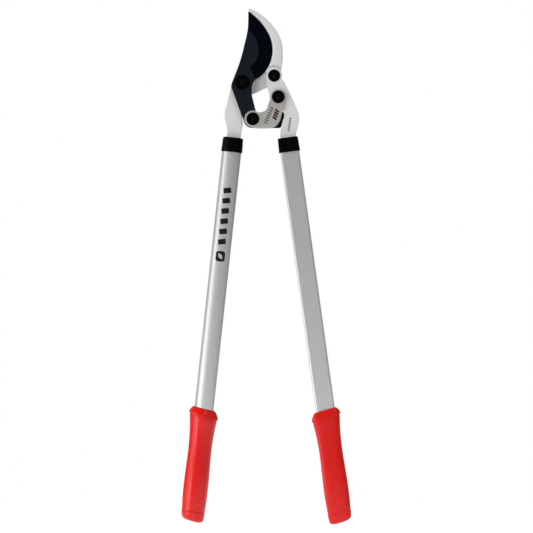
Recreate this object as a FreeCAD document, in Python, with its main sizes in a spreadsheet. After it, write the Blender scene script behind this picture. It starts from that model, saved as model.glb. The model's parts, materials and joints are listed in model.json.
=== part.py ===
import FreeCAD
import Part
import math
import os
import Sketcher
from FreeCAD import Placement, Rotation, Vector

# Bypass loppers with a compound linkage. The tool stands with its jaws up: +X to the right, +Z up, and
# -Y towards the side that shows the blade. The origin is on the lower edge of the hook's web, where a
# hanging peg bears, in the plane in which the blade slides on the hook. The hook and the left arm are
# one forging. The blade turns on it about one pivot, the right arm about another, and a pair of
# L-shaped links joins the arm to the blade's tail. Lengths are in millimetres. "Height" means the
# distance in front of the sliding plane, along -Y.

doc = FreeCAD.newDocument("Loppers")

DIMENSIONS = [
    ("blade_pivot_x", -27.0, "blade pivot"),
    ("blade_pivot_z", 13.5, "blade pivot"),
    ("arm_pivot_x", 23.0, "right arm on hook"),
    ("arm_pivot_z", 24.0, "right arm on hook"),
    ("tail_pivot_x", -10.5, "link on blade tail"),
    ("tail_pivot_z", -44.0, "link on blade tail"),
    ("drive_pivot_x", 29.5, "link on right arm"),
    ("drive_pivot_z", -9.5, "link on right arm"),
    ("slide_gap", 0.1, "clearance between sliding faces"),
    ("running_gap", 0.05, "radial clearance of running fits"),
    ("fit_gap", 0.02, "radial clearance of fixed fits"),
    ("blade_thick", 5.5, "blade and right arm"),
    ("hook_thick", 7.5, "hook and left arm"),
    ("rib_high", 2.4, "hook's rib in front of the sliding plane"),
    ("web_recess", 1.2, "depth of the hook's web below the sliding plane"),
    ("link_thick", 3.2, "each link plate at its eyes"),
    ("eye_proud", 0.5, "how far the eyes stand above the rest of a link plate"),
    ("belly_x", -35.1, "centre of the edge's middle arc"),
    ("belly_z", 64.4, "centre of the edge's middle arc"),
    ("belly_rad", 55.5, "edge's middle arc"),
    ("point_rad", 97.2, "edge's arc that runs to the point"),
    ("heel_rad", 43.8, "edge's arc that runs to the heel"),
    ("bevel_wide", 22.0, "main bevel, square to the edge"),
    ("hone_wide", 2.4, "honed strip along the edge"),
    ("hone_high", 1.1, "blade's thickness where the honed strip starts"),
    ("edge_high", 0.35, "blade's thickness at the edge"),
    ("hook_lap", 3.0, "how far the shut blade laps the hook's edge"),
    ("rib_gap", 1.9, "edge of the shut blade to the foot of the rib"),
    ("rib_relief_rad", 16.0, "rib's end, round the right arm's pivot"),
    ("blade_boss_rad", 15.0, "hook round the blade's pivot"),
    ("hook_boss_rad", 12.0, "hook round the right arm's pivot"),
    ("arm_boss_rad", 12.6, "right arm's upper end"),
    ("link_eye_rad", 13.1, "link's ends"),
    ("tail_eye_rad", 13.6, "end of the blade's tail"),
    ("pivot_shank_rad", 5.0, "bolts through the hook"),
    ("link_shank_rad", 4.0, "bolts through the links"),
    ("bush_rad", 7.0, "outside of the bushes in blade and right arm"),
    ("sleeve_rad", 6.0, "outside of the sleeve at the tail"),
    ("tail_bore_rad", 8.3, "bore in the tail, with room for the opened loop"),
    ("neck_half", 4.6, "half the square neck under a link bolt's head"),
    ("pivot_head_rad", 9.6, "heads of the two pivot bolts"),
    ("link_head_rad", 10.1, "heads of the two link bolts"),
    ("head_high", 4.3, "domed heads"),
    ("head_rim", 0.7, "upright rim of the domed heads"),
    ("cup_rad", 11.7, "cup washer under the blade pivot's head"),
    ("cup_high", 1.5, "cup washer"),
    ("washer_rad", 10.4, "washers under the nuts"),
    ("washer_thick", 1.2, "washers under the nuts"),
    ("nut_half", 8.0, "half the lock nuts' width across flats"),
    ("nut_high", 5.4, "hexagon of the lock nuts"),
    ("collar_high", 2.2, "round top of the lock nuts"),
    ("thread_out", 1.6, "bolt end beyond its nut"),
    ("left_top_x", -41.4, "top of the left handle"),
    ("right_top_x", 44.2, "top of the right handle"),
    ("handle_top_z", -73.0, "top of both handles"),
    ("left_plane_y", 3.0, "left tube's centre plane"),
    ("right_plane_y", -2.2, "right tube's centre plane"),
    ("left_lean", 6.15, "degrees the left handle leans outwards"),
    ("right_lean", 7.88, "degrees the right handle leans outwards"),
    ("tube_half", 15.1, "half the tube's width and radius of its round side"),
    ("tube_flat", 8.5, "centre plane to the tube's flat side"),
    ("tube_round", 11.5, "centre plane to the crown of its round side"),
    ("tube_corner", 3.5, "corner radius beside the flat side"),
    ("tube_wall", 1.5, "aluminium wall"),
    ("tube_top", 4.0, "top of the handle to the tube's upper end"),
    ("tube_long", 598.0, "tube"),
    ("ferrule_long", 23.0, "ferrule"),
    ("ferrule_grow", 0.8, "ferrule's overhang over the tube at its top"),
    ("ferrule_flare", 2.2, "degrees of flare on the ferrule's sides"),
    ("insert_long", 62.0, "plug between tang and tube"),
    ("tang_half", 8.5, "half the tang's width"),
    ("tang_long", 58.0, "tang"),
    ("pin_deep", 14.0, "top of the handle to the spring pin"),
    ("pin_rad", 2.5, "spring pin"),
    ("pin_wall", 0.6, "spring pin's wall"),
    ("left_grip_top", 428.9, "top of the left handle to its grip's upper end"),
    ("right_grip_top", 432.5, "the same on the right handle"),
    ("grip_inward", 0.4, "the grips sit this far towards each other on their tubes"),
    ("grip_front", 0.95, "depth of a grip's round side, as a share of its half width"),
    ("grip_back", 0.46, "depth of its flat side, as a share of its half width"),
    ("grip_square", 3.2, "how square its flat side's corners are: 2 is an ellipse"),
]

sheet = doc.addObject("Spreadsheet::Sheet", "Dims")
for row, (alias, value, note) in enumerate(DIMENSIONS, start=1):
    sheet.set(f"A{row}", note)
    sheet.set(f"B{row}", str(value))
    sheet.setAlias(f"B{row}", alias)
doc.recompute()


def dim(alias):
    return float(sheet.get(alias))


BLADE_PIVOT = (dim("blade_pivot_x"), dim("blade_pivot_z"))
ARM_PIVOT = (dim("arm_pivot_x"), dim("arm_pivot_z"))
TAIL_PIVOT = (dim("tail_pivot_x"), dim("tail_pivot_z"))
DRIVE_PIVOT = (dim("drive_pivot_x"), dim("drive_pivot_z"))
TO_FRONT = Rotation(Vector(1, 0, 0), 90)  # turns a local +Z to -Y, so that local z is a height
# sizes of the rounded and chamfered edges
RIB_FOOT_CHAMFER, RIB_FILLET, FORGING_FILLET = 1.3, 1.8, 1.2
ARM_FILLET, FERRULE_FILLET, LINK_CHAMFER, CUP_FILLET = 1.0, 2.6, 0.7, 0.6
SLIT_HALF = 0.4  # half the spring pins' slit
TOLERANCE = 1e-3  # how near an edge must lie to a plane to count as in it

parts = []


# ---- helpers -------------------------------------------------------------------------------------
def new_body(node, placement=None):
    """An empty body that becomes the sub-part of that name."""
    body = doc.addObject("PartDesign::Body", node)
    body.Label = node
    if placement is not None:
        body.Placement = placement
    parts.append(body)
    return body


def body_at(node, pivot):
    """A body whose local z is the height in front of the sliding plane, standing on a pivot."""
    body = new_body(node, Placement(Vector(0, 0, 0), TO_FRONT))
    body.setExpression(".Placement.Base.x", f"Dims.{pivot}_pivot_x")
    body.setExpression(".Placement.Base.z", f"Dims.{pivot}_pivot_z")
    return body


def handle_body(node, side):
    """A body in a handle's frame: z runs up the axis to the top of the handle and x points at the other
    handle. The right handle is the same thing turned half round."""
    lean = dim(side + "_lean")
    turn = Rotation(Vector(0, 1, 0), lean)
    if side == "right":
        turn = Rotation(Vector(0, 1, 0), -lean).multiply(Rotation(Vector(0, 0, 1), 180))
    body = new_body(node, Placement(Vector(0, 0, 0), turn))
    body.setExpression(".Placement.Base.x", f"Dims.{side}_top_x")
    body.setExpression(".Placement.Base.y", f"Dims.{side}_plane_y")
    body.setExpression(".Placement.Base.z", "Dims.handle_top_z")
    return body


def new_sketch(body, name, role="XZ_Plane", lift=None):
    """A sketch on one of the body's own planes, lifted along that plane's normal by an expression."""
    sketch = body.newObject("Sketcher::SketchObject", name)
    plane = [f for f in body.Origin.OriginFeatures if f.Role == role][0]
    sketch.AttachmentSupport = [(plane, "")]
    sketch.MapMode = "FlatFace"
    if lift is not None:
        sketch.setExpression(".AttachmentOffset.Base.z", lift)
    return sketch


def flat(point):
    return Vector(point[0], point[1], 0)


def on_circle(centre, radius, degrees):
    turn = math.radians(degrees)
    return centre[0] + radius * math.cos(turn), centre[1] + radius * math.sin(turn)


def draw(sketch, start, steps, blended=False):
    """Draws a closed outline. A step is a point (a straight run), a list of two points (an arc through
    the first to the second) or a longer list (a smooth curve through them all). In a blended outline,
    curves and arcs take turns, and each curve leaves and meets the arcs beside it without a corner."""
    stops = [start] + [s if isinstance(s, tuple) else s[-1] for s in steps]
    arcs = {
        i: Part.Arc(flat(stops[i]), flat(s[0]), flat(s[1]))
        for i, s in enumerate(steps)
        if isinstance(s, list) and len(s) == 2
    }
    for i, step in enumerate(steps):
        if isinstance(step, tuple):
            edge = Part.LineSegment(flat(stops[i]), flat(step))
        elif i in arcs:
            edge = arcs[i]
        else:
            edge = Part.BSplineCurve()
            through = [flat(p) for p in [stops[i], *step]]
            if blended:
                before, after = arcs[(i - 1) % len(steps)], arcs[(i + 1) % len(steps)]
                ends = {
                    "InitialTangent": heading(before, stops[i]),
                    "FinalTangent": heading(after, stops[i + 1]),
                }
                edge.interpolate(through, **ends)
            else:
                edge.interpolate(through)
        sketch.addGeometry(edge, False)


def heading(arc, point):
    """The direction in which an outline runs along an arc of it at one of the arc's ends."""
    edge = arc.toShape()
    return edge.tangentAt(edge.Curve.parameter(flat(point)))


def trace(sketch, corners):
    """Draws a closed outline bound to the sheet. A corner is two expressions, x and y. A third one is the
    radius of the arc to the next corner, and a minus before it makes the arc bulge to the left. A half
    circle is bound by a fourth, its centre's y, as its radius follows from its ends."""
    spots = [tuple(float(sketch.evalExpression(e)) for e in corner[:2]) for corner in corners]
    for i, corner in enumerate(corners):
        a, b = flat(spots[i]), flat(spots[(i + 1) % len(spots)])
        if len(corner) == 2:
            sketch.addGeometry(Part.LineSegment(a, b), False)
            continue
        left = corner[2].startswith("-")
        radius = float(sketch.evalExpression(corner[2].lstrip("-")))
        half = (b - a).Length / 2
        rise = radius - math.sqrt(max(radius**2 - half**2, 0.0))
        out = Vector(0, 0, 1).cross(b - a).normalize() * (rise if left else -rise)
        sketch.addGeometry(Part.Arc(a, (a + b) / 2 + out, b), False)
    for i, corner in enumerate(corners):
        follows = (i + 1) % len(corners)
        start = 1 if is_forward(sketch, i, spots[i]) else 2
        next_start = 1 if is_forward(sketch, follows, spots[follows]) else 2
        sketch.addConstraint(Sketcher.Constraint("Coincident", i, 3 - start, follows, next_start))
        for kind, value, expression in zip(("DistanceX", "DistanceY"), spots[i], corner):
            c = sketch.addConstraint(Sketcher.Constraint(kind, i, start, value))
            sketch.setExpression(f"Constraints[{c}]", expression)
        if len(corner) > 3:
            value = float(sketch.evalExpression(corner[3]))
            c = sketch.addConstraint(Sketcher.Constraint("DistanceY", i, 3, value))
            sketch.setExpression(f"Constraints[{c}]", corner[3])
        elif len(corner) > 2:
            radius = corner[2].lstrip("-")
            value = float(sketch.evalExpression(radius))
            c = sketch.addConstraint(Sketcher.Constraint("Radius", i, value))
            sketch.setExpression(f"Constraints[{c}]", radius)


def is_forward(sketch, index, start):
    """Whether a run's own start point is the corner it was drawn from."""
    return (sketch.getPoint(index, 1) - flat(start)).Length < TOLERANCE


def circle(sketch, radius, centre=(0.0, 0.0)):
    """A circle whose radius is an expression."""
    value = float(sketch.evalExpression(radius))
    i = sketch.addGeometry(Part.Circle(flat(centre), Vector(0, 0, 1), value), False)
    sketch.addConstraint(Sketcher.Constraint("DistanceX", i, 3, centre[0]))
    sketch.addConstraint(Sketcher.Constraint("DistanceY", i, 3, centre[1]))
    c = sketch.addConstraint(Sketcher.Constraint("Radius", i, value))
    sketch.setExpression(f"Constraints[{c}]", radius)


def box(sketch, x0, x1, y0, y1):
    """A rectangle whose four sides are expressions."""
    trace(sketch, [(x0, y0), (x1, y0), (x1, y1), (x0, y1)])


def solid_of(body, kind, sketch, length=None, back=False):
    """A Pad, Pocket or other feature of a sketch. back turns its direction round."""
    feature = body.newObject("PartDesign::" + kind, sketch.Name + kind)
    feature.Profile = sketch
    if length is None and kind == "Pocket":
        feature.Type = 1  # through all
        feature.Midplane = True
    elif length is not None:
        feature.setExpression("Length", length)
    feature.Reversed = back
    sketch.Visibility = False
    doc.recompute()
    return feature


def turned(body, sketch, kind="Revolution", degrees=360.0):
    """The sketch turned about its own upright axis."""
    feature = body.newObject("PartDesign::" + kind, sketch.Name + kind)
    feature.Profile = sketch
    feature.ReferenceAxis = (sketch, ["V_Axis"])
    feature.Angle = degrees
    sketch.Visibility = False
    doc.recompute()
    return feature


def dress(body, kind, size, test):
    """Fillet or Chamfer on the edges for which test(edge) holds."""
    tip = body.Tip
    names = [f"Edge{i}" for i, e in enumerate(tip.Shape.Edges, start=1) if test(e)]
    feature = body.newObject("PartDesign::" + kind, f"{body.Name}{kind}{len(body.Group)}")
    feature.Base = (tip, names)
    if kind == "Fillet":
        feature.Radius = size
    else:
        feature.Size = size
    doc.recompute()
    return feature


def lies_at(edge, y):
    """Whether an edge lies wholly in the plane of that y, in the body's own frame."""
    bounds = edge.BoundBox
    return abs(bounds.YMin - y) < TOLERANCE and abs(bounds.YMax - y) < TOLERANCE


def is_arc(edge):
    return isinstance(edge.Curve, Part.Circle)


def in_handle(side, x, z):
    """A place in a handle's frame (x to the right), as a place in the plane of the tool."""
    lean = math.radians(dim("left_lean") if side == "left" else -dim("right_lean"))
    top_x = dim(side + "_top_x")
    return (
        top_x + x * math.cos(lean) + z * math.sin(lean),
        dim("handle_top_z") - x * math.sin(lean) + z * math.cos(lean),
    )


# ---- the cutting edge ----------------------------------------------------------------------------
# Three tangent arcs, heel, belly and point: centre, radius and the two angles between which each runs.
HEEL_END, LOWER_JOIN, UPPER_JOIN, POINT_END = -61.5, -33.0, 28.0, 56.0
BELLY = (dim("belly_x"), dim("belly_z"))
HEEL = on_circle(BELLY, dim("belly_rad") - dim("heel_rad"), LOWER_JOIN)
POINT = on_circle(BELLY, dim("belly_rad") - dim("point_rad"), UPPER_JOIN)
EDGE = [
    (HEEL, "heel_rad", HEEL_END, LOWER_JOIN),
    (BELLY, "belly_rad", LOWER_JOIN, UPPER_JOIN),
    (POINT, "point_rad", UPPER_JOIN, POINT_END),
]


def along_edge(out, start=HEEL_END, end=POINT_END):
    """The edge's arcs from heel to point, moved out by a distance, as steps for draw, after the place
    where they start."""
    steps = []
    spans = [(c, dim(r) + out, max(a, start), min(b, end)) for c, r, a, b in EDGE]
    if start < HEEL_END:
        spans[0] = (spans[0][0], spans[0][1], start, spans[0][3])
    if end > POINT_END:
        spans[2] = (spans[2][0], spans[2][1], spans[2][2], end)
    spans = [s for s in spans if s[2] < s[3]]
    for centre, radius, a, b in spans:
        steps.append([on_circle(centre, radius, (a + b) / 2), on_circle(centre, radius, b)])
    return on_circle(spans[0][0], spans[0][1], spans[0][2]), steps


def backwards(start, steps):
    """The same run of steps the other way."""
    stops = [start] + [s if isinstance(s, tuple) else s[-1] for s in steps]
    turned_round = []
    for stop, step in zip(reversed(stops[:-1]), reversed(steps)):
        turned_round.append(stop if isinstance(step, tuple) else [*reversed(step[:-1]), stop])
    return stops[-1], turned_round


# ---- hook and left arm, one forging --------------------------------------------------------------
def make_hook():
    body = new_body("hook")
    inner_start, inner = backwards(*along_edge(-dim("hook_lap"), end=53.0))
    tang, long = dim("tang_half"), dim("tang_long")
    outline = new_sketch(body, "HookOutline", lift="Dims.rib_high")
    draw(
        outline,
        (-17.7, 128.9),
        [
            inner_start,
            *inner,
            on_circle(BLADE_PIVOT, dim("blade_boss_rad"), 62),
            [on_circle(BLADE_PIVOT, dim("blade_boss_rad"), a) for a in (120, 176)],
            (-45.3, 5.5),
            [(-49.3, -9.6), (-53.3, -24.8), (-55.5, -38), (-53.4, -51), (-51.3, -62),
             in_handle("left", -11.4, 0)],
            in_handle("left", -tang, 0),
            in_handle("left", -tang, -long),
            in_handle("left", tang, -long),
            in_handle("left", tang, 0),
            in_handle("left", 11.6, 0),
            [(-28.2, -62.5), (-26.6, -52), (-27.5, -42.5), (-28.5, -33), (-26.2, -23), (-20.5, -11.8),
             (-11.3, -5.2)],
            (14.2, 6.5),
            [(18.4, 9.7), on_circle(ARM_PIVOT, dim("hook_boss_rad"), -75)],
            [on_circle(ARM_PIVOT, dim("hook_boss_rad"), a) for a in (-38, 0)],
            (33.9, 33.0),
            [(35.3, 40.4), (36.3, 50), (36.5, 60.7), (35.6, 71.7), (33.0, 82.2), (28.8, 91), (22.4, 101),
             (13.5, 110.9), (1.3, 121.2), (-6.5, 126.1), (-14.9, 130.2)],
            (-17.7, 128.9),
        ],
    )
    solid_of(body, "Pad", outline, "Dims.hook_thick + Dims.rib_high", back=True)

    # the face on which the blade and the right arm slide, ground back all round the rib
    ground = new_sketch(body, "HookGround", lift="Dims.rib_high")
    relief = dim("rib_relief_rad")
    far = math.dist(BELLY, ARM_PIVOT)
    reach = dim("belly_rad") + dim("rib_gap")
    meet = math.degrees(math.acos((reach**2 + far**2 - relief**2) / (2 * reach * far)))
    meet += math.degrees(math.atan2(ARM_PIVOT[1] - BELLY[1], ARM_PIVOT[0] - BELLY[0]))
    foot_start, foot = backwards(*along_edge(dim("rib_gap"), start=meet, end=61.0))
    draw(
        ground,
        foot_start,
        [
            *foot,
            [on_circle(ARM_PIVOT, relief, a) for a in (80, 30)],
            (60.0, 32.0),
            (60.0, -150.0),
            (-90.0, -150.0),
            (-90.0, 131.3),
            foot_start,
        ],
    )
    solid_of(body, "Pocket", ground, "Dims.rib_high")

    # the forging's rounded edges: the rib's two shoulders, the jaw's back and the arm's four long edges
    top, back = -dim("rib_high"), dim("hook_thick")
    dress(body, "Chamfer", RIB_FOOT_CHAMFER, lambda e: lies_at(e, top) and e.Length > 14 and is_arc(e))
    dress(body, "Fillet", RIB_FILLET, lambda e: lies_at(e, top) and e.Length > 80)
    jaw_low = 18.0  # the jaw's back starts above this height and the arm's edges end below it
    dress(body, "Fillet", FORGING_FILLET,
          lambda e: lies_at(e, back) and e.Length > 18 and e.BoundBox.ZMin > jaw_low)
    for face in (back, 0):
        dress(body, "Fillet", FORGING_FILLET,
              lambda e: lies_at(e, face) and e.Length > 60 and e.BoundBox.ZMax < jaw_low + 2)

    # the web between the two pivots lies lower than the sliding face
    web = new_sketch(body, "HookWeb")
    draw(
        web,
        (-13.6, -20.0),
        [
            (-9.4, 4.0),
            [(-8.2, 12.5), (-8.6, 20.0)],
            (-4.0, 27.0),
            (5.0, 36.0),
            (11.0, 29.4),
            [(11.6, 21.0), (14.6, 14.4)],
            (22.0, -20.0),
            (-13.6, -20.0),
        ],
    )
    solid_of(body, "Pocket", web, "Dims.web_recess")

    bores = new_sketch(body, "HookBores")
    circle(bores, "Dims.pivot_shank_rad + Dims.fit_gap", BLADE_PIVOT)
    circle(bores, "Dims.pivot_shank_rad + Dims.fit_gap", ARM_PIVOT)
    circle(bores, "Dims.pin_rad + Dims.fit_gap", in_handle("left", 0, -dim("pin_deep")))
    solid_of(body, "Pocket", bores)
    return body


# ---- blade ---------------------------------------------------------------------------------------
def make_blade():
    body = new_body("blade")
    heel, edge = along_edge(0.0)
    eye = (TAIL_PIVOT[0] - 0.9, TAIL_PIVOT[1] - 0.6)
    reach = dim("tail_eye_rad")
    outline = new_sketch(body, "BladeOutline", lift="Dims.slide_gap")
    draw(
        outline,
        heel,
        [
            *edge,
            [(-17.7, 117), (-18.3, 99), (-22.0, 80), (-27.2, 58.6), (-33.6, 38.2), (-40.4, 20.6),
             (-43.9, 11.4)],
            [(-44.5, 8.0), (-43.9, 4.6)],
            on_circle(eye, reach, 201.6),
            [on_circle(eye, reach, a) for a in (320, 64.8)],
            [(-7.9, -23.6), (-10.2, -14.2), (-12.0, -5.4), (-12.4, 1.5), (-11.1, 10.6), (-8.2, 16.2), heel],
        ],
    )
    solid_of(body, "Pad", outline, "Dims.blade_thick")

    # the bevel: the same profile turned about the centre of each arc of the edge
    for number, (centre, radius, start, end) in enumerate(EDGE):
        if number == 0:
            start = -64.5
        if number == 2:
            end = 64.0
        sketch = body.newObject("Sketcher::SketchObject", f"Bevel{number}")
        plane = [f for f in body.Origin.OriginFeatures if f.Role == "XZ_Plane"][0]
        sketch.AttachmentSupport = [(plane, "")]
        sketch.MapMode = "FlatFace"
        stand = Rotation(Vector(0, 0, 1), start).multiply(Rotation(Vector(1, 0, 0), 90))
        sketch.AttachmentOffset = Placement(Vector(centre[0], centre[1], 0), stand)
        r, low = f"Dims.{radius}", "Dims.slide_gap"
        trace(
            sketch,
            [
                (f"{r} + 2", f"{low} + Dims.edge_high"),
                (r, f"{low} + Dims.edge_high"),
                (f"{r} - Dims.hone_wide", f"{low} + Dims.hone_high"),
                (f"{r} - Dims.bevel_wide", f"{low} + Dims.blade_thick"),
                (f"{r} - Dims.bevel_wide", f"{low} + Dims.blade_thick + 1"),
                (f"{r} + 2", f"{low} + Dims.blade_thick + 1"),
            ],
        )
        turned(body, sketch, "Groove", end - start)

    bores = new_sketch(body, "BladeBores")
    circle(bores, "Dims.bush_rad + Dims.fit_gap", BLADE_PIVOT)
    circle(bores, "Dims.tail_bore_rad", TAIL_PIVOT)
    solid_of(body, "Pocket", bores)
    return body


# ---- right arm -----------------------------------------------------------------------------------
def make_right_arm():
    body = new_body("right_arm")
    boss = dim("arm_boss_rad")
    tang, long = dim("tang_half"), dim("tang_long")
    outline = new_sketch(body, "ArmOutline", lift="Dims.slide_gap")
    draw(
        outline,
        on_circle(ARM_PIVOT, boss, 186),
        [
            [on_circle(ARM_PIVOT, boss, a) for a in (90, -22)],
            [(40.6, 11), (44.5, 3.1), (51.8, -12.6), (58.6, -28.3), (61.5, -37), (62.0, -45.6), (59.9, -57),
             (57.5, -66), in_handle("right", 12.6, 0)],
            in_handle("right", tang, 0),
            in_handle("right", tang, -long),
            in_handle("right", -tang, -long),
            in_handle("right", -tang, 0),
            in_handle("right", -11.4, 0),
            [(32.6, -67.6), (33.9, -58.2), (35.9, -51.9), (38.1, -44), (39.3, -37.6), (38.9, -33.6),
             (35.8, -30.9), (29.4, -28.6), (22.0, -24.0), (17.2, -15.6), (14.8, -5.6), (12.4, 5.0),
             (11.0, 14.6), on_circle(ARM_PIVOT, boss, 186)],
        ],
    )
    solid_of(body, "Pad", outline, "Dims.blade_thick")
    dress(body, "Fillet", ARM_FILLET,
          lambda e: e.Length > 60 and e.BoundBox.YLength < TOLERANCE and e.BoundBox.XMax > 61)
    bores = new_sketch(body, "ArmBores")
    circle(bores, "Dims.bush_rad + Dims.fit_gap", ARM_PIVOT)
    circle(bores, "Dims.bush_rad + Dims.fit_gap", DRIVE_PIVOT)
    circle(bores, "Dims.pin_rad + Dims.fit_gap", in_handle("right", 0, -dim("pin_deep")))
    solid_of(body, "Pocket", bores)
    return body


# ---- the pair of links and their bumper ----------------------------------------------------------
def link_outline(sketch):
    eye = dim("link_eye_rad")
    draw(
        sketch,
        on_circle(TAIL_PIVOT, eye, 52),
        [
            [on_circle(TAIL_PIVOT, eye, a) for a in (150, 250)],
            [(-8.0, -58.2), (4.0, -59.0), (14.0, -58.9), (20.5, -58.1), (25.6, -55.5), (30.9, -49.3),
             (34.1, -40.6), (37.1, -28.0), on_circle(DRIVE_PIVOT, eye - 0.5, -14)],
            [on_circle(DRIVE_PIVOT, eye - 0.5, a) for a in (90, 184)],
            [(14.9, -17.0), (12.2, -26.0), (8.4, -31.4), (2.6, -33.4), on_circle(TAIL_PIVOT, eye, 52)],
        ],
        blended=True,
    )


def make_link(node, front):
    body = new_body(node)
    inner = "Dims.blade_thick + 2 * Dims.slide_gap" if front else "0"
    plate = new_sketch(body, node + "_plate", lift=inner)
    link_outline(plate)
    solid_of(body, "Pad", plate, "Dims.link_thick - Dims.eye_proud", back=not front)
    rest = dim("link_thick") - dim("eye_proud")
    face = -(dim("blade_thick") + 2 * dim("slide_gap") + rest) if front else rest
    dress(body, "Chamfer", LINK_CHAMFER, lambda e: lies_at(e, face))
    for number, pivot in enumerate((TAIL_PIVOT, DRIVE_PIVOT)):
        eye = new_sketch(body, f"{node}_eye{number}", lift=inner)
        circle(eye, "Dims.link_eye_rad - 1.2", pivot)
        solid_of(body, "Pad", eye, "Dims.link_thick", back=not front)
    bores = new_sketch(body, node + "_bores")
    for x, z in (TAIL_PIVOT, DRIVE_PIVOT):
        if front:
            half = "(Dims.neck_half + Dims.fit_gap)"
            cx = "Dims.tail_pivot_x" if x == TAIL_PIVOT[0] else "Dims.drive_pivot_x"
            cz = cx[:-1] + "z"
            square_on(bores, cx, cz, half)
        else:
            circle(bores, "Dims.link_shank_rad + Dims.fit_gap", (x, z))
    solid_of(body, "Pocket", bores)
    return body


def square_on(sketch, cx, cz, half):
    """A square about a centre, with its four runs bound to expressions."""
    first = sketch.GeometryCount
    x = float(sketch.evalExpression(cx))
    z = float(sketch.evalExpression(cz))
    h = float(sketch.evalExpression(half))
    corners = [(x - h, z - h), (x + h, z - h), (x + h, z + h), (x - h, z + h)]
    signs = [("-", "-"), ("+", "-"), ("+", "+"), ("-", "+")]
    for i in range(4):
        sketch.addGeometry(Part.LineSegment(flat(corners[i]), flat(corners[(i + 1) % 4])), False)
    for i in range(4):
        here, follows = first + i, first + (i + 1) % 4
        sketch.addConstraint(Sketcher.Constraint("Coincident", here, 2, follows, 1))
        for kind, value, centre, sign in zip(("DistanceX", "DistanceY"), corners[i], (cx, cz), signs[i]):
            c = sketch.addConstraint(Sketcher.Constraint(kind, here, 1, value))
            sketch.setExpression(f"Constraints[{c}]", f"{centre} {sign} {half}")


def make_bumper():
    body = new_body("link_bumper")
    sketch = new_sketch(body, "BumperOutline")
    draw(
        sketch,
        (27.6, -36.2),
        [
            [(31.8, -32.9), (35.6, -32.8), (37.5, -33.6), (38.6, -35.3), (39.0, -37.6), (37.7, -44.0),
             (35.5, -51.8), (33.3, -57.0), (30.8, -58.4)],
            (21.4, -58.3),
            [(20.6, -54.0), (24.0, -51.4)],
            (27.6, -36.2),
        ],
    )
    solid_of(body, "Pad", sketch, "Dims.blade_thick + 2 * Dims.slide_gap")
    return body


# ---- bolts, bushes, washers and nuts -------------------------------------------------------------
def make_bolt(node, pivot, head, shank, seat, end, neck=None):
    """A domed bolt. seat is the height under its head and end the height of its far end."""
    body = body_at(node, pivot)
    sketch = new_sketch(body, node + "_profile")
    rise = "(Dims.head_high - Dims.head_rim)"
    trace(
        sketch,
        [
            ("0", f"{seat} + Dims.head_high", f"(({head}) ^ 2 + {rise} ^ 2) / (2 * {rise})"),
            (head, f"{seat} + Dims.head_rim"),
            (head, seat),
            (shank, seat),
            (shank, f"{end} + 1"),
            (f"{shank} - 1", end),
            ("0", end),
        ],
    )
    turned(body, sketch)
    if neck is not None:
        square = new_sketch(body, node + "_neck", "XY_Plane", lift=seat)
        box(square, f"-{neck}", neck, f"-{neck}", neck)
        solid_of(body, "Pad", square, "Dims.link_thick", back=True)
    return body


def make_ring(node, pivot, outer, inner, low, length):
    """A plain ring that stands on the height low."""
    body = body_at(node, pivot)
    sketch = new_sketch(body, node + "_rings", "XY_Plane", lift=low)
    circle(sketch, outer)
    circle(sketch, inner)
    solid_of(body, "Pad", sketch, length)
    return body


def make_cup_washer():
    """A washer with a rolled rim and a dished seat for the head."""
    body = body_at("blade_pivot_cup_washer", "blade")
    sketch = new_sketch(body, "CupProfile")
    low = "(Dims.slide_gap + Dims.blade_thick)"
    trace(
        sketch,
        [
            ("Dims.pivot_shank_rad + Dims.fit_gap", low),
            ("Dims.cup_rad", low),
            ("Dims.cup_rad", f"{low} + Dims.cup_high - {CUP_FILLET}", f"{CUP_FILLET}"),
            (f"Dims.cup_rad - {CUP_FILLET}", f"{low} + Dims.cup_high"),
            ("Dims.pivot_shank_rad + Dims.fit_gap", f"{low} + Dims.cup_high"),
        ],
    )
    turned(body, sketch)
    return body


def make_nut(node, pivot, shank, face):
    """A hexagon lock nut against the height face, with its round top to the back."""
    body = body_at(node, pivot)
    hexagon = new_sketch(body, node + "_hexagon", "XY_Plane", lift=face)
    half = "Dims.nut_half"
    tall = f"{half} / sqrt(3)"
    trace(
        hexagon,
        [
            (half, f"-{tall}"), (half, tall), ("0", f"2 * {tall}"),
            (f"-{half}", tall), (f"-{half}", f"-{tall}"), ("0", f"-2 * {tall}"),
        ],
    )
    solid_of(body, "Pad", hexagon, "Dims.nut_high", back=True)
    top = new_sketch(body, node + "_top", "XY_Plane", lift=face)
    circle(top, "Dims.nut_half - 0.6")
    solid_of(body, "Pad", top, "Dims.nut_high + Dims.collar_high", back=True)
    bore = new_sketch(body, node + "_bore", "XY_Plane")
    circle(bore, f"{shank} + Dims.fit_gap")
    solid_of(body, "Pocket", bore)
    return body


# ---- handles -------------------------------------------------------------------------------------
def tube_section(sketch, out="0"):
    """The tube's D-shaped section grown outwards by an expression: a round side towards -y and a flat
    side with rounded corners towards +y."""
    half = f"(Dims.tube_half + {out})"
    face = f"(Dims.tube_flat + {out})"
    corner = f"(Dims.tube_corner + {out})"
    centre = "(Dims.tube_half - Dims.tube_round)"
    trace(
        sketch,
        [
            (f"-{half}", centre, half, centre),
            (half, centre),
            (half, f"{face} - {corner}", corner),
            (f"{half} - {corner}", face),
            (f"-{half} + {corner}", face, corner),
            (f"-{half}", f"{face} - {corner}"),
        ],
    )


def tang_slot(side):
    """The span of y that an arm's tang takes in its handle's frame, with a clearance."""
    if side == "left":
        low = "-Dims.left_plane_y - 2 * Dims.fit_gap"
        return low, "Dims.hook_thick - Dims.left_plane_y + 2 * Dims.fit_gap"
    front = "Dims.blade_thick + Dims.slide_gap + Dims.right_plane_y + 2 * Dims.fit_gap"
    return "Dims.right_plane_y + Dims.slide_gap - 2 * Dims.fit_gap", front


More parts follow.
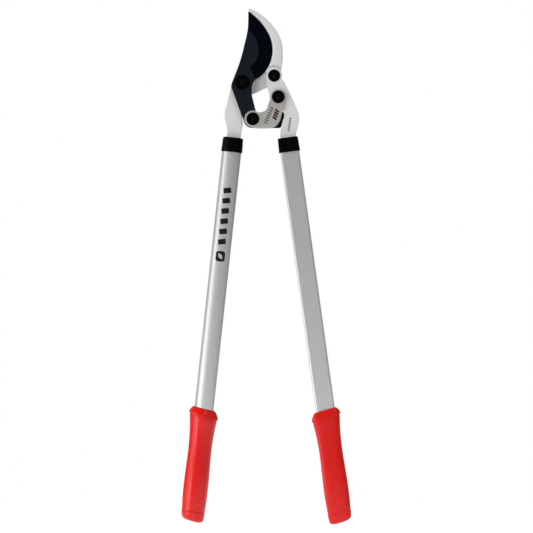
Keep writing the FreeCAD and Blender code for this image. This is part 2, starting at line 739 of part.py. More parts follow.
def make_tube(side):
    body = handle_body(side + "_tube", side)
    sketch = new_sketch(body, side + "_tube_section", "XY_Plane", lift="-Dims.tube_top")
    tube_section(sketch)
    solid_of(body, "Pad", sketch, "Dims.tube_long", back=True)
    hollow = new_sketch(body, side + "_tube_hollow", "XY_Plane", lift="-Dims.tube_top")
    tube_section(hollow, "-Dims.tube_wall")
    solid_of(body, "Pocket", hollow)
    pin_hole(body, side)
    return body


def pin_hole(body, side):
    sketch = new_sketch(body, body.Name + "_pin_hole", "XZ_Plane")
    circle(sketch, "Dims.pin_rad + Dims.fit_gap", (0.0, -dim("pin_deep")))
    solid_of(body, "Pocket", sketch)


def make_ferrule(side):
    body = handle_body(side + "_ferrule", side)
    sketch = new_sketch(body, side + "_ferrule_section", "XY_Plane")
    tube_section(sketch, "Dims.ferrule_grow")
    skirt = solid_of(body, "Pad", sketch, "Dims.ferrule_long", back=True)
    skirt.setExpression("TaperAngle", "Dims.ferrule_flare")
    doc.recompute()
    dress(body, "Fillet", FERRULE_FILLET,
          lambda e: abs(e.BoundBox.ZMin) < TOLERANCE and abs(e.BoundBox.ZMax) < TOLERANCE)
    socket = new_sketch(body, side + "_ferrule_socket", "XY_Plane", lift="-Dims.ferrule_long")
    tube_section(socket, "Dims.fit_gap")
    solid_of(body, "Pocket", socket, "Dims.ferrule_long - Dims.tube_top", back=True)
    slot = new_sketch(body, side + "_ferrule_slot", "XY_Plane")
    half = "(Dims.tang_half + 2 * Dims.fit_gap)"
    box(slot, f"-{half}", half, *tang_slot(side))
    solid_of(body, "Pocket", slot)
    return body


def make_insert(side):
    body = handle_body(side + "_tang_insert", side)
    sketch = new_sketch(body, side + "_insert_section", "XY_Plane", lift="-Dims.tube_top")
    tube_section(sketch, "-Dims.tube_wall - Dims.fit_gap")
    solid_of(body, "Pad", sketch, "Dims.insert_long - Dims.tube_top", back=True)
    slot = new_sketch(body, side + "_insert_slot", "XY_Plane")
    half = "(Dims.tang_half + 2 * Dims.fit_gap)"
    box(slot, f"-{half}", half, *tang_slot(side))
    solid_of(body, "Pocket", slot, "Dims.tang_long + 0.5")
    pin_hole(body, side)
    return body


def make_pin(side):
    """A slit spring pin that ends flush with the tube's flat side and just inside its round side."""
    body = handle_body(side + "_tang_pin", side)
    sketch = new_sketch(body, side + "_pin_section", "XZ_Plane", lift="-Dims.tube_flat + 0.2")
    circle(sketch, "Dims.pin_rad", (0.0, -dim("pin_deep")))
    circle(sketch, "Dims.pin_rad - Dims.pin_wall", (0.0, -dim("pin_deep")))
    solid_of(body, "Pad", sketch, "Dims.tube_flat + Dims.tube_round - 0.6")
    slit = new_sketch(body, side + "_pin_slit", "XZ_Plane")
    box(slit, f"-{SLIT_HALF}", f"{SLIT_HALF}", "-Dims.pin_deep", "-Dims.pin_deep + 2 * Dims.pin_rad")
    solid_of(body, "Pocket", slit)
    return body


# The grip's outside from its upper end down: distance, half width, and the degrees that the section
# there is slanted, with its outer side higher. A domed collar, the waisted middle, and an end band with
# a domed foot.
GRIP_PARTS = {
    "collar": [
        (0.0, 16.2, 8.4),
        (2.0, 18.9, 8.8),
        (4.0, 20.3, 9.2),
        (6.5, 21.7, 9.7),
        (9.5, 22.9, 10.2),
        (11.5, 23.0, 10.6),
        (13.0, 22.5, 10.8),
    ],
    "middle": [
        (13.0, 21.9, 10.8),
        (18.0, 21.4, 10.6),
        (25.0, 20.5, 10.4),
        (34.0, 19.6, 10.1),
        (44.0, 18.95, 9.7),
        (54.0, 18.5, 9.4),
        (65.0, 18.3, 9.0),
        (80.0, 18.45, 8.5),
        (96.0, 18.95, 8.0),
        (110.0, 19.3, 7.5),
        (124.0, 19.5, 7.0),
        (136.0, 19.45, 6.6),
        (148.0, 19.15, 6.2),
        (163.0, 18.5, 5.6),
    ],
    "end": [
        (163.0, 18.8, 5.6),
        (168.0, 18.5, 6.4),
        (172.0, 18.0, 7.4),
        (174.6, 17.1, 8.2),
        (176.8, 15.0, 8.8),
        (178.2, 11.0, 9.2),
        (179.0, 5.5, 9.4),
    ],
}


def make_grip(side):
    """Slanted D sections lofted down the handle, part by part, with a socket for the tube."""
    body = handle_body(side + "_grip", side)
    arc_centre = dim("tube_half") - dim("tube_round")
    for part, stations in GRIP_PARTS.items():
        sections = []
        for number, (down, half, slant) in enumerate(stations):
            sketch = new_sketch(body, f"{side}_grip_{part}{number}", "XY_Plane")
            place = Vector(dim("grip_inward"), arc_centre, -dim(side + "_grip_top") - down)
            sketch.AttachmentOffset = Placement(place, Rotation(Vector(0, 1, 0), slant))
            stretch = 1 / math.cos(math.radians(slant))
            curve = Part.BSplineCurve()
            points = [grip_point(half, stretch, degrees) for degrees in range(0, 360, 10)]
            curve.interpolate([flat(p) for p in points], PeriodicFlag=True)
            sketch.addGeometry(curve, False)
            sketch.Visibility = False
            sections.append(sketch)
        doc.recompute()
        loft = body.newObject("PartDesign::AdditiveLoft", f"{side}_grip_{part}_loft")
        loft.Profile = sections[0]
        loft.Sections = sections[1:]
        loft.Ruled = False
        doc.recompute()
    socket = new_sketch(body, side + "_grip_socket", "XY_Plane", lift="-Dims.tube_top - Dims.tube_long")
    tube_section(socket, "Dims.fit_gap")
    solid_of(body, "Pocket", socket, "Dims.tube_long", back=True)
    return body


def grip_point(half, stretch, degrees):
    """A point of a grip's section: half an ellipse over the tube's round side, squarer over its flat
    side."""
    c, s = math.cos(math.radians(degrees)), math.sin(math.radians(degrees))
    if s < 0:
        return half * stretch * c, half * dim("grip_front") * s
    power = 2 / dim("grip_square")
    return half * stretch * math.copysign(abs(c) ** power, c), half * dim("grip_back") * s**power


# ---- the assembly --------------------------------------------------------------------------------
FRONT = "(Dims.slide_gap + Dims.blade_thick)"  # height of the front of blade and right arm
LINK_FRONT = "(Dims.blade_thick + 2 * Dims.slide_gap + Dims.link_thick)"

make_hook()
make_blade()
make_right_arm()
make_link("front_link", True)
make_link("rear_link", False)
make_bumper()

stack = "Dims.washer_thick + Dims.nut_high + Dims.collar_high + Dims.thread_out"
hook_back = "-Dims.hook_thick"
link_back = "-Dims.link_thick"
for pivot, seat in (("blade", f"({FRONT} + Dims.cup_high)"), ("arm", FRONT)):
    node = "blade_pivot" if pivot == "blade" else "handle_pivot"
    make_bolt(node + "_bolt", pivot, "Dims.pivot_head_rad", "Dims.pivot_shank_rad", seat,
              f"({hook_back} - ({stack}))")
    make_ring(node + "_washer", pivot, "Dims.washer_rad", "Dims.pivot_shank_rad + Dims.fit_gap",
              f"{hook_back} - Dims.washer_thick", "Dims.washer_thick")
    make_nut(node + "_nut", pivot, "Dims.pivot_shank_rad", f"{hook_back} - Dims.washer_thick")
make_cup_washer()
for pivot in ("tail", "drive"):
    node = "link_" + pivot
    make_bolt(node + "_bolt", pivot, "Dims.link_head_rad", "Dims.link_shank_rad", LINK_FRONT,
              f"({link_back} - ({stack}))", neck="Dims.neck_half")
    make_ring(node + "_washer", pivot, "Dims.washer_rad - 0.6", "Dims.link_shank_rad + Dims.fit_gap",
              f"{link_back} - Dims.washer_thick", "Dims.washer_thick")
    make_nut(node + "_nut", pivot, "Dims.link_shank_rad", f"{link_back} - Dims.washer_thick")
make_ring("blade_bush", "blade", "Dims.bush_rad", "Dims.pivot_shank_rad + Dims.running_gap",
          "Dims.slide_gap", "Dims.blade_thick")
make_ring("arm_pivot_bush", "arm", "Dims.bush_rad", "Dims.pivot_shank_rad + Dims.running_gap",
          "Dims.slide_gap", "Dims.blade_thick")
make_ring("arm_drive_bush", "drive", "Dims.bush_rad", "Dims.link_shank_rad + Dims.running_gap",
          "Dims.slide_gap", "Dims.blade_thick")
make_ring("link_tail_sleeve", "tail", "Dims.sleeve_rad", "Dims.link_shank_rad + Dims.fit_gap",
          "0", "Dims.blade_thick + 2 * Dims.slide_gap")
for side in ("left", "right"):
    make_ferrule(side)
    make_tube(side)
    make_insert(side)
    make_pin(side)
    make_grip(side)

doc.recompute()
for obj in doc.Objects:
    if "Invalid" in obj.State or "Error" in obj.State:
        raise RuntimeError(f"{obj.Name} did not build: {obj.State}")
os.makedirs("parts", exist_ok=True)
for body in parts:
    if body.Shape.isNull() or not body.Shape.isValid() or len(body.Shape.Solids) != 1:
        raise RuntimeError(f"{body.Label} is not one valid solid")
    body.Shape.exportStep(f"parts/{body.Label}.step")
    print(f"{body.Label}: {body.Shape.Volume:.0f} mm3")
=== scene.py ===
import bpy
import bmesh
import json
import math
import numpy as np
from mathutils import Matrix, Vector


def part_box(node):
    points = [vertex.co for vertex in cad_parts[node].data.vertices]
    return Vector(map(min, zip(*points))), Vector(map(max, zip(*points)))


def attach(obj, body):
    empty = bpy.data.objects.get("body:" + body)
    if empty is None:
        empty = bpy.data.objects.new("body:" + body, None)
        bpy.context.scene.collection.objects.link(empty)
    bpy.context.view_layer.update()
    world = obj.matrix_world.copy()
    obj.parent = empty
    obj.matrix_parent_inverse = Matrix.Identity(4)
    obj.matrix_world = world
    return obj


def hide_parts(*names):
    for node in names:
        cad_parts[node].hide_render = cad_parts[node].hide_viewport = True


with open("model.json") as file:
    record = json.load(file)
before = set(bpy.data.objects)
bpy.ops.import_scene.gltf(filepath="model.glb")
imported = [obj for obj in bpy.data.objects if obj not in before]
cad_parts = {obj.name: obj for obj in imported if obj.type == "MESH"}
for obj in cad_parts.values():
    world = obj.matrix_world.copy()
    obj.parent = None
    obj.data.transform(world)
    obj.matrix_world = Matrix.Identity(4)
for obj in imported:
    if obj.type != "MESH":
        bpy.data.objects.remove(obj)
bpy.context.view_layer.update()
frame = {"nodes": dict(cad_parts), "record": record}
mm = 0.001
print("frame loaded")

# a handle's frame in millimetres: the top of its axis, the tube's centre plane, its lean in degrees, and
# whether it is turned half round, flat side to the front
handles = {
    "left": {"topX": -41.4, "topZ": -73.0, "planeY": 3.0, "lean": 6.15, "turned": False},
    "right": {"topX": 44.2, "topZ": -73.0, "planeY": -2.2, "lean": -7.88, "turned": True},
}
handleBodies = {"left": "fixed_side", "right": "right_handle"}
# the extruded tube's round side: its radius, and how far its crown stands from the centre plane
tubeSection = {"half": 15.1, "round": 11.5}


# x runs across the tool towards the other handle, y through it and z up along the handle's axis
def handlePoints(side, x, y, z):
    h = handles[side]
    lean = math.radians(h["lean"])
    flip = -1.0 if h["turned"] else 1.0
    across = np.array([math.cos(lean), 0.0, -math.sin(lean)]) * flip
    through = np.array([0.0, flip, 0.0])
    along = np.array([math.sin(lean), 0.0, math.cos(lean)])
    top = np.array([h["topX"], h["planeY"], h["topZ"]])
    x, y, z = np.broadcast_arrays(x, y, z)
    return (top + x[..., None] * across + y[..., None] * through + z[..., None] * along) * mm


# a cubic from knot to knot, whose slope at each is the mean of the slopes beside it, or nothing at a turning
# point, so it has no corners and no overshoot
def smoothThrough(knots, values, at):
    slope = np.diff(values) / np.diff(knots)
    ends = np.concatenate([[slope[0]], (slope[:-1] + slope[1:]) / 2, [slope[-1]]])
    flat = np.concatenate([[False], slope[:-1] * slope[1:] <= 0, [False]])
    ends[flat] = 0.0
    i = np.clip(np.searchsorted(knots, at) - 1, 0, len(knots) - 2)
    w = knots[i + 1] - knots[i]
    t = (at - knots[i]) / w
    return (
        values[i] * (1 + 2 * t) * (1 - t) ** 2
        + values[i + 1] * t**2 * (3 - 2 * t)
        + ends[i] * w * t * (1 - t) ** 2
        - ends[i + 1] * w * t**2 * (1 - t)
    )


# the four-sided faces that join each ring to the next, from the number of the first ring's first point
def ringFaces(count, around, first=0):
    step = np.arange(around)
    after = (step + 1) % around
    base = (first + np.arange(count - 1) * around)[:, None]
    quads = np.stack([base + step, base + after, base + around + after, base + around + step], axis=-1)
    return quads.reshape(-1, 4).tolist()


# a mesh from rings of points, with a pole over each end
def ringMesh(name, rings, material, sharp=None):
    count, around = rings.shape[:2]
    verts = np.concatenate([rings.reshape(-1, 3), rings[[0, -1]].mean(axis=1)])
    step = np.arange(around)
    after = (step + 1) % around
    last, poles = (count - 1) * around, count * around
    first = np.stack([after, step, np.full(around, poles)], axis=-1)
    final = np.stack([last + step, last + after, np.full(around, poles + 1)], axis=-1)
    return newPiece(name, verts, ringFaces(count, around) + first.tolist() + final.tolist(), material, sharp)


# a finished piece from its points and faces, with its faces turned outwards; sharp is the angle in degrees
# past which an edge is crisp
def newPiece(name, verts, faces, material, sharp=None):
    mesh = bpy.data.meshes.new(name)
    mesh.from_pydata(verts.tolist(), [], faces)
    turned = bmesh.new()
    turned.from_mesh(mesh)
    bmesh.ops.recalc_face_normals(turned, faces=turned.faces)
    turned.to_mesh(mesh)
    turned.free()
    mesh.polygons.foreach_set("use_smooth", np.ones(len(mesh.polygons), bool))
    if sharp is not None:
        mesh.set_sharp_from_angle(angle=math.radians(sharp))
    mesh.materials.append(material)
    piece = bpy.data.objects.new(name, mesh)
    bpy.context.scene.collection.objects.link(piece)
    return piece


# sRGB hex to the linear colour that the shader's sockets take
def linear(hexCode):
    channels = [int(hexCode[i : i + 2], 16) / 255 for i in (0, 2, 4)]
    return [c / 12.92 if c <= 0.04045 else ((c + 0.055) / 1.055) ** 2.4 for c in channels] + [1.0]


# adds a node with its settings and gives one of its outputs; a socket takes a constant or another's output
def addNode(tree, kind, sockets=(), out=0, **settings):
    node = tree.nodes.new("ShaderNode" + kind)
    for key, value in settings.items():
        setattr(node, key, value)
    for key, value in dict(sockets).items():
        if isinstance(value, bpy.types.NodeSocket):
            tree.links.new(value, node.inputs[key])
        else:
            node.inputs[key].default_value = value
    return node.outputs[out]


# noise on Object coordinates, of a size in millimetres, drawn out by stretch along an axis that leans by an
# angle in the plane of the tool
def grain(tree, size, stretch, lean, detail):
    place = addNode(tree, "TexCoord", out="Object")
    turned = addNode(tree, "Mapping", {"Vector": place, "Rotation": (0.0, -math.radians(lean), 0.0)})
    drawn = addNode(tree, "Mapping", {"Vector": turned, "Scale": (1, 1, 1 / stretch)})
    sockets = {"Vector": drawn, "Scale": 1 / (size * mm), "Detail": detail}
    return addNode(tree, "TexNoise", sockets, out="Fac")


# each finish: the shader's constants; tones, the size in mm of its mottling and the two colours that this
# runs between; spread, the part of the noise that makes the change; rough, a size and the two roughnesses;
# bump, a size, a depth in mm and a strength
finishes = {
    # enamel sprayed on a forging: an even pale grey with a satin gloss and the faint ripple of sprayed paint
    "satinSilverEnamel": {
        "constants": {"Roughness": 0.42, "Specular IOR Level": 0.25},
        "tones": (5.0, "e3e3e1", "ebebe9"),
        "rough": (3.0, 0.42, 0.46),
        "bump": (4.0, 0.02, 0.1),
    },
    # non-stick coating on a ground blade: matt slate in faint clouds, with hardly any gloss
    "blackNonStickCoating": {
        "constants": {"Roughness": 0.4, "Specular IOR Level": 0.05},
        "tones": (9.0, "161d24", "1f2329"),
        "spread": (0.35, 0.75),
        "rough": (0.9, 0.34, 0.46),
        "bump": (0.6, 0.02, 0.5),
        "detail": (2.0, 3.0, 3.0),
    },
    # plated steel, tumbled and clear coated: a soft warm grey, half scattered, with a fine tooth
    "satinPlatedSteel": {
        "constants": {"Metallic": 0.5, "Roughness": 0.42},
        "tones": (3.0, "c2c0bc", "d1cfcc"),
        "rough": (0.7, 0.36, 0.5),
        "bump": (0.9, 0.03, 0.7),
    },
    # gloss lacquer on bolt heads: nearly no colour, so that only small lights show in it
    "glossBlackLacquer": {
        "constants": {"Roughness": 0.12, "Specular IOR Level": 0.06},
        "tones": (1.0, "010101", "030303"),
        "bump": (3.0, 0.02, 0.3),
    },
    # zinc plated fasteners: pale bluish metal with cloudy patches
    "zincPlatedSteel": {
        "constants": {"Metallic": 1.0, "Roughness": 0.3},
        "tones": (2.5, "b4b8bb", "c8cbcc"),
        "rough": (1.0, 0.24, 0.38),
    },
    # anodised extrusion: silver under a milky oxide film that scatters a quarter of its light, with faint
    # die lines along the tube
    "anodisedAluminium": {
        "constants": {"Metallic": 0.75, "Roughness": 0.44},
        "tones": (0.6, "d4d5d7", "dcdddf"),
        "rough": (0.6, 0.44, 0.46),
        "bump": (0.6, 0.01, 0.08),
        "stretch": 200.0,
        "detail": (2.0, 2.0, 2.0),
    },
    # glass-filled nylon: black and half gloss, with the fine texture of an eroded mould
    "mouldedBlackNylon": {
        "constants": {"Roughness": 0.3, "Specular IOR Level": 0.06},
        "tones": (2.0, "010102", "040404"),
        "rough": (0.8, 0.26, 0.36),
        "bump": (0.5, 0.03, 0.4),
    },
    # moulded rubber: dead black with a dull skin
    "mouldedRubber": {
        "constants": {"Roughness": 0.6, "Specular IOR Level": 0.1},
        "tones": (1.2, "030303", "060606"),
        "bump": (0.7, 0.04, 0.6),
    },
    # oil-soaked sintered bronze: brown metal with open grain
    "oiledSinteredBronze": {
        "constants": {"Metallic": 1.0, "Roughness": 0.45},
        "tones": (0.4, "8a6a3c", "a5824e"),
    },
    # moulded vinyl: saturated red with a soft gloss that wanders a little along the grip
    "mouldedRedVinyl": {
        "constants": {"Roughness": 0.28, "Specular IOR Level": 0.4},
        "tones": (18.0, "d10701", "d50903"),
        "rough": (6.0, 0.27, 0.29),
        "bump": (3.0, 0.01, 0.02),
    },
    # floor paint: nearly white and quite matt
    "paleFloorPaint": {
        "constants": {"Roughness": 0.9, "Specular IOR Level": 0.1},
        "tones": (60.0, "f6f6f5", "fafafa"),
    },
}
noiseSpan = {"From Min": 0.3, "From Max": 0.7}  # where nearly all of a noise's values lie


# a material from its finish; over lays one more colour on the mottled one
def makeFinish(name, finish, lean=0.0, over=None):
    material = bpy.data.materials.new(name)
    material.use_nodes = True
    tree = material.node_tree
    shader = tree.nodes["Principled BSDF"]
    for key, value in finish["constants"].items():
        shader.inputs[key].default_value = value
    stretch = finish.get("stretch", 1.0)
    details = finish.get("detail", (3.0, 3.0, 3.0))
    size, dark, light = finish["tones"]
    low, high = finish.get("spread", (0.0, 1.0))
    wave = grain(tree, size, stretch, lean, details[0])
    share = addNode(tree, "MapRange", {"Value": wave, "From Min": low, "From Max": high})
    tone = addNode(tree, "Mix", {0: share, 6: linear(dark), 7: linear(light)}, out=2, data_type="RGBA")
    if over is not None:
        tone = over(tree, tone)
    tree.links.new(tone, shader.inputs["Base Color"])
    if "rough" in finish:
        size, low, high = finish["rough"]
        wave = grain(tree, size, stretch, lean, details[1])
        rough = addNode(tree, "MapRange", {"Value": wave, **noiseSpan, "To Min": low, "To Max": high})
        tree.links.new(rough, shader.inputs["Roughness"])
    if "bump" in finish:
        size, depth, strength = finish["bump"]
        wave = grain(tree, size, stretch, lean, details[2])
        bump = addNode(tree, "Bump", {"Height": wave, "Distance": depth * mm, "Strength": strength})
        tree.links.new(bump, shader.inputs["Normal"])
    return material


# painted shade: the grey laid on the hook's web recess, at its depth and within near of it
webShade = {"depth": 1.2, "near": 0.1, "tone": "cacac9"}


# painted shade: the recess of the hook's web is coloured greyer to stand for the shade that falls between
# the blade and the arm: it lies where y is its depth
def shadeInWeb(tree, tone):
    depth = addNode(tree, "SeparateXYZ", {0: addNode(tree, "TexCoord", out="Object")}, out="Y")
    sockets = {0: depth, 1: webShade["depth"] * mm, 2: webShade["near"] * mm}
    inWeb = addNode(tree, "Math", sockets, operation="COMPARE")
    return addNode(tree, "Mix", {0: inWeb, 6: tone, 7: linear(webShade["tone"])}, out=2, data_type="RGBA")


# painted shade: the near-black colour laid on the bevel's face, standing for its darker reflection
bevelShade = {"start": 0.02, "soft": 0.1, "tone": "00040b"}


# painted shade: the ground bevel is coloured deep black to stand for the darker reflection of its tilted
# face; it is where the blade's front lies behind its flat
def shadeOnBevel(tree, tone):
    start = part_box("blade")[0].y + bevelShade["start"] * mm
    depth = addNode(tree, "SeparateXYZ", {0: addNode(tree, "TexCoord", out="Object")}, out="Y")
    span = {"Value": depth, "From Min": start, "From Max": start + bevelShade["soft"] * mm}
    onBevel = addNode(tree, "MapRange", span)
    return addNode(tree, "Mix", {0: onBevel, 6: tone, 7: linear(bevelShade["tone"])}, out=2, data_type="RGBA")


slotFinishes = {
    "painted_steel": "satinSilverEnamel",
    "coated_blade": "blackNonStickCoating",
    "link_steel": "satinPlatedSteel",
    "bumper_rubber": "mouldedRubber",
    "bolt_black": "glossBlackLacquer",
    "zinc_steel": "zincPlatedSteel",
    "bush_bronze": "oiledSinteredBronze",
    "ferrule_black": "mouldedBlackNylon",
    "insert_nylon": "mouldedBlackNylon",
    "grip_vinyl": "mouldedRedVinyl",
}
layers = {"painted_steel": shadeInWeb, "coated_blade": shadeOnBevel}
slotMaterials = {
    slot: makeFinish(name, finishes[name], over=layers.get(slot)) for slot, name in slotFinishes.items()
}
# the die lines follow each tube's own lean
tubeMaterials = {
    side: makeFinish("anodisedAluminium" + side.title(), finishes["anodisedAluminium"], handle["lean"])
    for side, handle in handles.items()
}
for entry in frame["record"]["subparts"]:
    node, slot = entry["node"], entry["material_slot"]
    material = tubeMaterials[node.split("_")[0]] if slot == "tube_aluminium" else slotMaterials[slot]
    mesh = frame["nodes"][node].data
    mesh.materials.clear()
    mesh.materials.append(material)
print("materials made")

# the grips are moulded sleeves with a domed collar, a waisted middle and an end band; knots run down the
# sleeve: the distance from its upper end, the half width, and the degrees its rings slant
grip = {
    "top": {"left": 428.9, "right": 432.5},
    "inward": 0.4,
    "front": 0.95,
    "back": 0.46,
    "square": 3.2,
    "knots": (
        (0.0, 16.2, 8.4),
        (2.0, 18.9, 8.8),
        (4.0, 20.3, 9.2),
        (6.5, 21.7, 9.7),
        (9.5, 22.9, 10.2),
        (11.5, 23.0, 10.6),
        (12.6, 22.75, 10.8),
        (13.1, 22.0, 10.8),
        (14.0, 21.75, 10.8),
        (18.0, 21.4, 10.6),
        (25.0, 20.5, 10.4),
        (34.0, 19.6, 10.1),
        (44.0, 18.95, 9.7),
        (54.0, 18.5, 9.4),
        (65.0, 18.3, 9.0),
        (80.0, 18.45, 8.5),
        (96.0, 18.95, 8.0),
        (110.0, 19.3, 7.5),
        (124.0, 19.5, 7.0),
        (136.0, 19.45, 6.6),
        (148.0, 19.15, 6.2),
        (162.6, 18.5, 5.6),
        (163.4, 18.75, 5.7),
        (168.0, 18.5, 6.4),
        (172.0, 18.0, 7.4),
        (174.6, 17.1, 8.2),
        (176.8, 15.0, 8.8),
        (178.2, 11.0, 9.2),
        (179.0, 5.5, 9.4),
    ),
    # a moulded-in groove: where it is, how deep and how wide
    "grooves": ((13.3, 0.55, 0.45), (162.9, 0.45, 0.4)),
    "rings": 170,
    "around": 120,
    # more rings where the shape turns quickly: the domed foot, and a reach on each side of a groove
    "foot": (172, 179),
    "footRings": 26,
    "grooveReach": 1.2,
    "grooveRings": 25,
}


# rings down the sleeve, each half an ellipse over the tube's round side, x = w cos a, y = front w sin a, and
# a squarer half over its flat side, x = w cos^(2/p) a, y = back w sin^(2/p) a; each ring is sheared by its
# slant, and a groove takes depth exp(-(distance/width)^2) off the half width
def makeGrip(side):
    down, half, slant = np.array(grip["knots"]).T
    near = np.linspace(-grip["grooveReach"], grip["grooveReach"], grip["grooveRings"])
    fine = [place + near for place, depth, width in grip["grooves"]]
    even = np.linspace(0, down[-1], grip["rings"])
    at = np.unique(np.concatenate([even, np.linspace(*grip["foot"], grip["footRings"]), *fine, down]))
    w = smoothThrough(down, half, at)
    for place, depth, width in grip["grooves"]:
        w = w - depth * np.exp(-(((at - place) / width) ** 2))
    angle = np.linspace(0, 2 * np.pi, grip["around"], endpoint=False)
    c, s = np.cos(angle), np.sin(angle)
    power = 2 / grip["square"]
    x = np.where(s < 0, c, np.sign(c) * np.abs(c) ** power)
    y = np.where(s < 0, grip["front"] * s, grip["back"] * np.abs(s) ** power)
    centre = tubeSection["half"] - tubeSection["round"]
    across = w[:, None] * x
    fall = np.tan(np.radians(smoothThrough(down, slant, at)))[:, None]
    z = -grip["top"][side] - at[:, None] - across * fall
    points = handlePoints(side, across + grip["inward"], w[:, None] * y + centre, z)
    piece = ringMesh(side + "_grip_sleeve", points, slotMaterials["grip_vinyl"])
    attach(piece, handleBodies[side])
    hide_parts(side + "_grip")


for side in handles:
    makeGrip(side)
print("grips made")

# the printed marks are plain bars, a badge and a leaf, as thin films of ink: flat colour, a little broken
film = 0.1
inkTones = {
    "black": ("08080a", "141416"),
    "grey": ("5c5b5a", "7c7a78"),
    "darkRed": ("4a1216", "6c2226"),
    "silver": ("b4b6b8", "c6c8ca"),
}
inks = {
    colour: makeFinish(
        colour + "PrintingInk",
        {
            "constants": {"Roughness": 0.5, "Specular IOR Level": 0.3},
            "tones": (0.5, *tones),
            "spread": (0.45, 0.75),
        },
    )
    for colour, tones in inkTones.items()
}


# a superellipse outline |a|^p + |b|^p = 1, or with pinch a leaf whose width falls to nothing at both ends,
# turned and carried to its centre: u along the mark and v across it
def barOutline(centre, size, turn=0.0, power=8.0, pinch=0.0):
    angle = np.linspace(0, 2 * np.pi, 48, endpoint=False)
    c, s = np.cos(angle), np.sin(angle)
    a = np.sign(c) * np.abs(c) ** (2 / power)
    b = np.sign(s) * np.abs(s) ** (2 / power) * (1 - pinch * np.abs(a) ** 1.5)
    a, b, t = a * size[0] / 2, b * size[1] / 2, math.radians(turn)
    return centre[0] + a * math.cos(t) - b * math.sin(t), centre[1] + a * math.sin(t) + b * math.cos(t)


# each bar is a closed film: nested copies of its outline, growing under it and shrinking over it, all laid
# on the surface, which takes u, v and the height above the metal
def printMark(name, bars, surface, colour, body):
    grow = np.linspace(0.02, 1, 6)
    shrink = np.concatenate([grow, grow[::-1]])[:, None]
    rise = film * np.repeat([0.0, 1.0], len(grow))[:, None]
    verts, faces = [], []
    for number, bar in enumerate(bars):
        u, v = barOutline(**bar)
        cu, cv = bar["centre"]
        rings = surface(cu + (u - cu) * shrink, cv + (v - cv) * shrink, rise + 0 * u)
        count, around = rings.shape[:2]
        first = number * count * around
        step = np.arange(around)
        caps = [(first + step).tolist(), (first + (count - 1) * around + step).tolist()]
        faces += ringFaces(count, around, first) + caps
        verts.append(rings.reshape(-1, 3))
    piece = newPiece(name, np.concatenate(verts), faces, inks[colour], sharp=40)
    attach(piece, body)


# the left tube's rounded front: u runs down it and v round the arc, about the arc's own centre
def onTubeRound(u, v, rise):
    radius = tubeSection["half"]
    middle = radius - tubeSection["round"]
    turn = v / radius
    return handlePoints("left", (radius + rise) * np.sin(turn), middle - (radius + rise) * np.cos(turn), -u)


# the same, on top of the badge's film
def onBadge(u, v, rise):
    return onTubeRound(u, v, rise + film)


# a flat face at y: u runs up it, leaning to the right by lean degrees, and v to the right across it
def onFlat(x, z, y, lean):
    t = math.radians(lean)

    def surface(u, v, rise):
        across = x + u * math.sin(t) + v * math.cos(t)
        up = z + u * math.cos(t) - v * math.sin(t)
        return np.stack(np.broadcast_arrays(across, y - rise, up), axis=-1) * mm

    return surface


def row(count, pitch, size, turn=0.0, start=0.0):
    return [{"centre": (start + pitch * i, 0.0), "size": size, "turn": turn} for i in range(count)]


eyeProud = 0.5  # a link's plate is lower than its two eyes by this
badgeDown = 188.0
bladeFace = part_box("blade")[0].y / mm
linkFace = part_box("front_link")[0].y / mm + eyeProud
badge = [{"centre": (badgeDown, 0.0), "size": (16.5, 15.0), "power": 4.0}]
leaf = [{"centre": (badgeDown, 0.0), "size": (11.0, 6.0), "turn": 35, "power": 2.0, "pinch": 0.6}]
tubeBars = row(6, 16.2, (8.6, 12.4), 12, 84.0)
onLinkElbow = onFlat(9.6, -50.0, linkFace, 23.7)
onLinkSide = onFlat(23.6, -43.0, linkFace, 20.0)
onArm = onFlat(45.6, -62.5, bladeFace, 8.4)
blackStripes = row(2, 8.2, (3.0, 7.6), 20)
redStripes = row(2, 8.2, (3.0, 7.6), 20, 4.1)
printMark("tube_bars", tubeBars, onTubeRound, "black", "fixed_side")
printMark("tube_badge", badge, onTubeRound, "black", "fixed_side")
printMark("tube_leaf", leaf, onBadge, "silver", "fixed_side")
printMark("link_bars", row(7, 4.1, (2.3, 5.6)), onLinkElbow, "grey", "link_pair")
printMark("link_stripes", blackStripes, onLinkSide, "black", "link_pair")
printMark("link_red_stripes", redStripes, onLinkSide, "darkRed", "link_pair")
printMark("arm_ticks", row(8, 2.8, (1.4, 3.4)), onArm, "darkRed", "right_handle")
print("marks printed")

# the camera looks square at the blade side from far off, so that nothing converges
camera = {"centreX": 11.0, "centreZ": -276.0, "width": 838.4, "distance": 6000.0, "sensor": 36.0}


def makeCamera():
    lens = bpy.data.cameras.new("camera")
    lens.sensor_width = camera["sensor"]
    lens.lens = camera["sensor"] * camera["distance"] / camera["width"]
    lens.clip_end = 50.0
    holder = bpy.data.objects.new("camera", lens)
    bpy.context.scene.collection.objects.link(holder)
    holder.location = Vector((camera["centreX"], -camera["distance"], camera["centreZ"])) * mm
    holder.rotation_euler = (math.pi / 2, 0.0, 0.0)
    bpy.context.scene.camera = holder


# soft boxes: degrees round and up from the camera's side, metres away from a point at a height on the tool,
# size, and the brightness of the box's face; a fill lights surfaces but doesn't show in their gloss
lamps = {
    "leftBox": {"round": -78, "up": 2, "away": 2.4, "height": -0.27, "size": (0.9, 1.8), "bright": 2.2},
    "gripStrip": {"round": -56, "up": 0, "away": 1.3, "height": -0.64, "size": (0.36, 0.18), "bright": 10.0},
    "key": {"round": 34, "up": 38, "away": 2.4, "height": 0.02, "size": (0.36, 0.4), "bright": 9.0},
    "leftFill": {"round": -60, "up": 16, "away": 2.6, "height": -0.27, "size": (1.3, 1.5), "bright": 4.4},
    "overhead": {"round": 0, "up": 84, "away": 2.2, "height": -0.3, "size": (2.0, 2.0), "bright": 2.7},
}
fills = ("leftFill", "overhead")


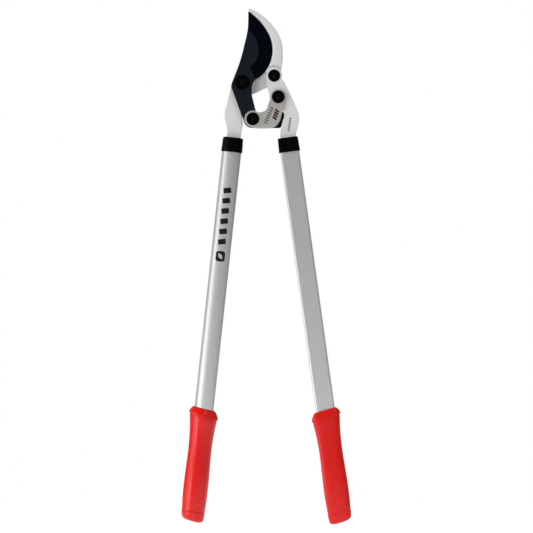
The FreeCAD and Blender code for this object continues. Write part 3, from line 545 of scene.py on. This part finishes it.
def makeLights():
    for name, lamp in lamps.items():
        light = bpy.data.lights.new(name, "AREA")
        light.shape = "RECTANGLE"
        light.size, light.size_y = lamp["size"]
        light.energy = lamp["bright"] * math.pi * light.size * light.size_y
        holder = bpy.data.objects.new(name, light)
        bpy.context.scene.collection.objects.link(holder)
        turn, up = math.radians(lamp["round"]), math.radians(lamp["up"])
        toward = Vector((math.sin(turn) * math.cos(up), -math.cos(turn) * math.cos(up), math.sin(up)))
        holder.location = Vector((0.0, 0.0, lamp["height"])) + toward * lamp["away"]
        holder.rotation_euler = (-toward).to_track_quat("-Z", "Y").to_euler()
        holder.visible_camera = False
        holder.visible_glossy = name not in fills
        light.cycles.use_multiple_importance_sampling = name not in fills


# the room's walls as gloss sees them: an even front, bright on the left, dimmer behind; other surfaces
# get soft, and the eye sees white
room = {"front": 0.36, "left": 0.08, "right": -0.04, "behind": -0.22, "soft": 0.2, "seen": 1.0}


def makeWorld():
    world = bpy.data.worlds.new("studio")
    bpy.context.scene.world = world
    world.use_nodes = True
    tree = world.node_tree
    tree.nodes.clear()
    way = addNode(tree, "TexCoord", out="Generated")
    level = room["front"]
    for axis, end, change in (("X", -1.0, "left"), ("X", 1.0, "right"), ("Y", 1.0, "behind")):
        facing = addNode(tree, "SeparateXYZ", {0: way}, out=axis)
        sockets = {"Value": facing, "From Min": 0.0, "From Max": end, "To Max": room[change]}
        level = addNode(tree, "Math", {0: level, 1: addNode(tree, "MapRange", sockets)}, operation="ADD")
    walls = addNode(tree, "Background", {"Strength": room["soft"]})
    gloss = addNode(tree, "Background", {"Strength": level})
    eye = addNode(tree, "Background", {"Strength": room["seen"]})
    for background in (walls, gloss, eye):
        background.node.inputs["Color"].default_value = (1.0, 1.0, 1.0, 1.0)
    isGlossy = addNode(tree, "LightPath", out="Is Glossy Ray")
    isCamera = addNode(tree, "LightPath", out="Is Camera Ray")
    both = addNode(tree, "MixShader", {0: isGlossy, 1: walls, 2: gloss})
    seen = addNode(tree, "MixShader", {0: isCamera, 1: both, 2: eye})
    output = tree.nodes.new("ShaderNodeOutputWorld")
    tree.links.new(seen, output.inputs["Surface"])


# a pale painted floor: a thin round slab a little below the tool, with a faint glow of its own
floor = {"top": -700.0, "radius": 900.0, "thick": 1.0, "glow": 0.5, "rings": 30, "around": 128}


def makeFloor():
    angle = np.linspace(0, 2 * np.pi, floor["around"], endpoint=False)
    spread = np.linspace(0.01, 1, floor["rings"])
    reach = floor["radius"] * np.concatenate([spread, spread[::-1]])[:, None]
    down = floor["thick"] * np.repeat([0.0, 1.0], floor["rings"])[:, None]
    rings = np.stack([reach * np.cos(angle), reach * np.sin(angle), floor["top"] - down + 0 * angle], -1)
    material = makeFinish("paleFloorPaint", finishes["paleFloorPaint"])
    shader = material.node_tree.nodes["Principled BSDF"]
    shader.inputs["Emission Color"].default_value = (1.0, 1.0, 1.0, 1.0)
    shader.inputs["Emission Strength"].default_value = floor["glow"]
    material.cycles.emission_sampling = "NONE"  # it is faint and wide, so the lamps keep all the samples
    ringMesh("floor", rings * mm, material, sharp=30)


makeFloor()
makeCamera()
makeLights()
makeWorld()
bpy.context.scene.view_settings.view_transform = "Standard"
print("camera, lights and world ready")
